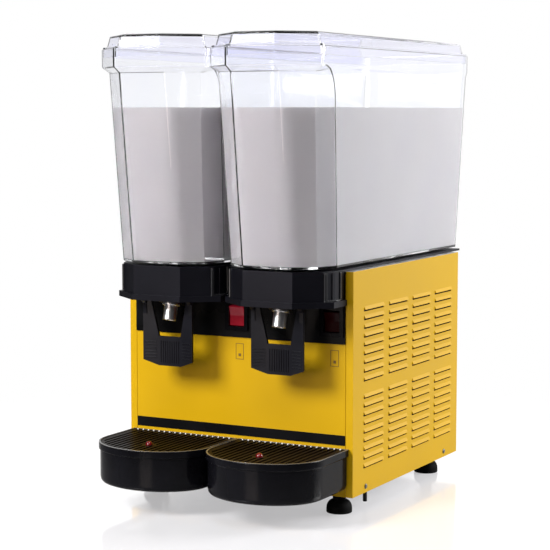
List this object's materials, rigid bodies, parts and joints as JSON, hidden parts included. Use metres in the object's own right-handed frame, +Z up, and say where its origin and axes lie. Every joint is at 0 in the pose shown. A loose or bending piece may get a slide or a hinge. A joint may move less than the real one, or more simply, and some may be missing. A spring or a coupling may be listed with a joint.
{
  "type": "cold drink dispenser",
  "caption": "Counter-top cold drink dispenser: clear lidded tanks on a louvred cooling cabinet, push-lever taps, drip trays with slotted grids and rocker switches.",
  "frame": {"origin": "floor level, under the middle of the whole object's box", "axes": "+Z up, -Y towards the user at the taps, +X to the user's right"},
  "size_m": [0.3648, 0.578, 0.6595],
  "materials": {
    "yellow_paint": "satin",
    "black_plastic": "satin",
    "black_gloss": "gloss",
    "clear_plastic": "clear",
    "steel": "brushed",
    "dark_metal": "satin",
    "aluminium_fins": "mill",
    "copper": "bare",
    "black_rubber": "matte",
    "white_silicone": "matte",
    "white_plastic": "satin",
    "red_plastic": "gloss"
  },
  "bodies": {
    "cabinet": {"base_pan": "steel", "left_side_panel": "yellow_paint", "right_side_panel": "yellow_paint", "rear_panel": "yellow_paint", "front_panel": "yellow_paint", "control_panel": "black_gloss", "bare_strip": "black_gloss", "top_plate": "steel", "feet": "black_rubber", "panel_screws": "steel", "base_bolts": "dark_metal", "tray_brackets": "steel", "compressor": "dark_metal", "condenser": "aluminium_fins", "fan_shroud": "black_plastic", "fan_motor": "dark_metal", "filter_drier": "copper", "refrigerant_pipes": "copper", "cable_gland": "black_plastic", "control_box": "black_plastic", "left_bowl_base": "black_plastic", "left_evaporator": "steel", "left_stirrer_motor": "dark_metal", "left_tank_seal": "white_silicone", "left_tap_body": "black_plastic", "left_spout": "steel", "left_lever_pin": "steel", "left_valve_spring": "steel", "left_switch_housing": "black_gloss", "right_bowl_base": "black_plastic", "right_evaporator": "steel", "right_stirrer_motor": "dark_metal", "right_tank_seal": "white_silicone", "right_tap_body": "black_plastic", "right_spout": "steel", "right_lever_pin": "steel", "right_valve_spring": "steel", "right_switch_housing": "black_gloss"},
    "fan": {"fan": "aluminium_fins"},
    "left_tank": {"left_tank": "clear_plastic"},
    "left_lid": {"left_lid": "clear_plastic"},
    "left_lever": {"left_lever": "black_plastic"},
    "left_valve_plunger": {"left_valve_plunger": "white_silicone"},
    "left_tray": {"left_tray": "black_plastic"},
    "left_grid": {"left_grid": "black_plastic"},
    "left_float": {"left_float": "red_plastic"},
    "left_rocker": {"left_rocker": "red_plastic"},
    "left_drive_magnet": {"left_drive_magnet": "dark_metal"},
    "left_impeller": {"left_impeller": "white_plastic"},
    "right_tank": {"right_tank": "clear_plastic"},
    "right_lid": {"right_lid": "clear_plastic"},
    "right_lever": {"right_lever": "black_plastic"},
    "right_valve_plunger": {"right_valve_plunger": "white_silicone"},
    "right_tray": {"right_tray": "black_plastic"},
    "right_grid": {"right_grid": "black_plastic"},
    "right_float": {"right_float": "red_plastic"},
    "right_rocker": {"right_rocker": "red_plastic"},
    "right_drive_magnet": {"right_drive_magnet": "dark_metal"},
    "right_impeller": {"right_impeller": "white_plastic"}
  },
  "joints": [
    {"name": "fan_spin", "type": "hinge", "parent": "cabinet", "child": "fan", "pos_m": [0.084, 0.0495, 0.1225], "axis": [1, 0, 0], "continuous": true},
    {"name": "left_tank_lift", "type": "slide", "parent": "cabinet", "child": "left_tank", "axis": [0, 0, 1], "range_m": [0, 0.2]},
    {"name": "left_lid_lift", "type": "slide", "parent": "left_tank", "child": "left_lid", "axis": [0, 0, 1], "range_m": [0, 0.1]},
    {"name": "left_lever_swing", "type": "hinge", "parent": "cabinet", "child": "left_lever", "pos_m": [-0.0875, -0.199, 0.298], "axis": [1, 0, 0], "range_deg": [0, 16], "stiffness_Nm_per_rad": 0.6, "springref_deg": -8.59},
    {"name": "left_valve_lift", "type": "slide", "parent": "cabinet", "child": "left_valve_plunger", "axis": [0, 0, 1], "range_m": [0, 0.0057], "deforming": ["left_valve_spring"]},
    {"name": "left_tray_pull", "type": "slide", "parent": "cabinet", "child": "left_tray", "axis": [0, -1, 0], "range_m": [0, 0.16]},
    {"name": "left_grid_lift", "type": "slide", "parent": "left_tray", "child": "left_grid", "axis": [0, 0, 1], "range_m": [0, 0.08]},
    {"name": "left_float_rise", "type": "slide", "parent": "left_tray", "child": "left_float", "axis": [0, 0, 1], "range_m": [0, 0.008]},
    {"name": "left_rocker_tip", "type": "hinge", "parent": "cabinet", "child": "left_rocker", "pos_m": [0, -0.142, 0.269], "axis": [1, 0, 0], "range_deg": [-14, 0]},
    {"name": "left_drive_spin", "type": "hinge", "parent": "cabinet", "child": "left_drive_magnet", "pos_m": [-0.0875, 0.047, 0.33], "axis": [0, 0, 1], "continuous": true},
    {"name": "left_impeller_spin", "type": "hinge", "parent": "cabinet", "child": "left_impeller", "pos_m": [-0.0875, 0.047, 0.455], "axis": [0, 0, 1], "continuous": true},
    {"name": "right_tank_lift", "type": "slide", "parent": "cabinet", "child": "right_tank", "axis": [0, 0, 1], "range_m": [0, 0.2]},
    {"name": "right_lid_lift", "type": "slide", "parent": "right_tank", "child": "right_lid", "axis": [0, 0, 1], "range_m": [0, 0.1]},
    {"name": "right_lever_swing", "type": "hinge", "parent": "cabinet", "child": "right_lever", "pos_m": [0.0875, -0.199, 0.298], "axis": [1, 0, 0], "range_deg": [0, 16], "stiffness_Nm_per_rad": 0.6, "springref_deg": -8.59},
    {"name": "right_valve_lift", "type": "slide", "parent": "cabinet", "child": "right_valve_plunger", "axis": [0, 0, 1], "range_m": [0, 0.0057], "deforming": ["right_valve_spring"]},
    {"name": "right_tray_pull", "type": "slide", "parent": "cabinet", "child": "right_tray", "axis": [0, -1, 0], "range_m": [0, 0.16]},
    {"name": "right_grid_lift", "type": "slide", "parent": "right_tray", "child": "right_grid", "axis": [0, 0, 1], "range_m": [0, 0.08]},
    {"name": "right_float_rise", "type": "slide", "parent": "right_tray", "child": "right_float", "axis": [0, 0, 1], "range_m": [0, 0.008]},
    {"name": "right_rocker_tip", "type": "hinge", "parent": "cabinet", "child": "right_rocker", "pos_m": [0.149, -0.142, 0.269], "axis": [1, 0, 0], "range_deg": [-14, 0]},
    {"name": "right_drive_spin", "type": "hinge", "parent": "cabinet", "child": "right_drive_magnet", "pos_m": [0.0875, 0.047, 0.33], "axis": [0, 0, 1], "continuous": true},
    {"name": "right_impeller_spin", "type": "hinge", "parent": "cabinet", "child": "right_impeller", "pos_m": [0.0875, 0.047, 0.455], "axis": [0, 0, 1], "continuous": true}
  ],
  "couplings": [
    {"joint": "left_valve_lift", "follows": "left_lever_swing", "m_per_rad": 0.02},
    {"joint": "left_impeller_spin", "follows": "left_drive_spin", "ratio": 1},
    {"joint": "right_valve_lift", "follows": "right_lever_swing", "m_per_rad": 0.02},
    {"joint": "right_impeller_spin", "follows": "right_drive_spin", "ratio": 1}
  ]
}
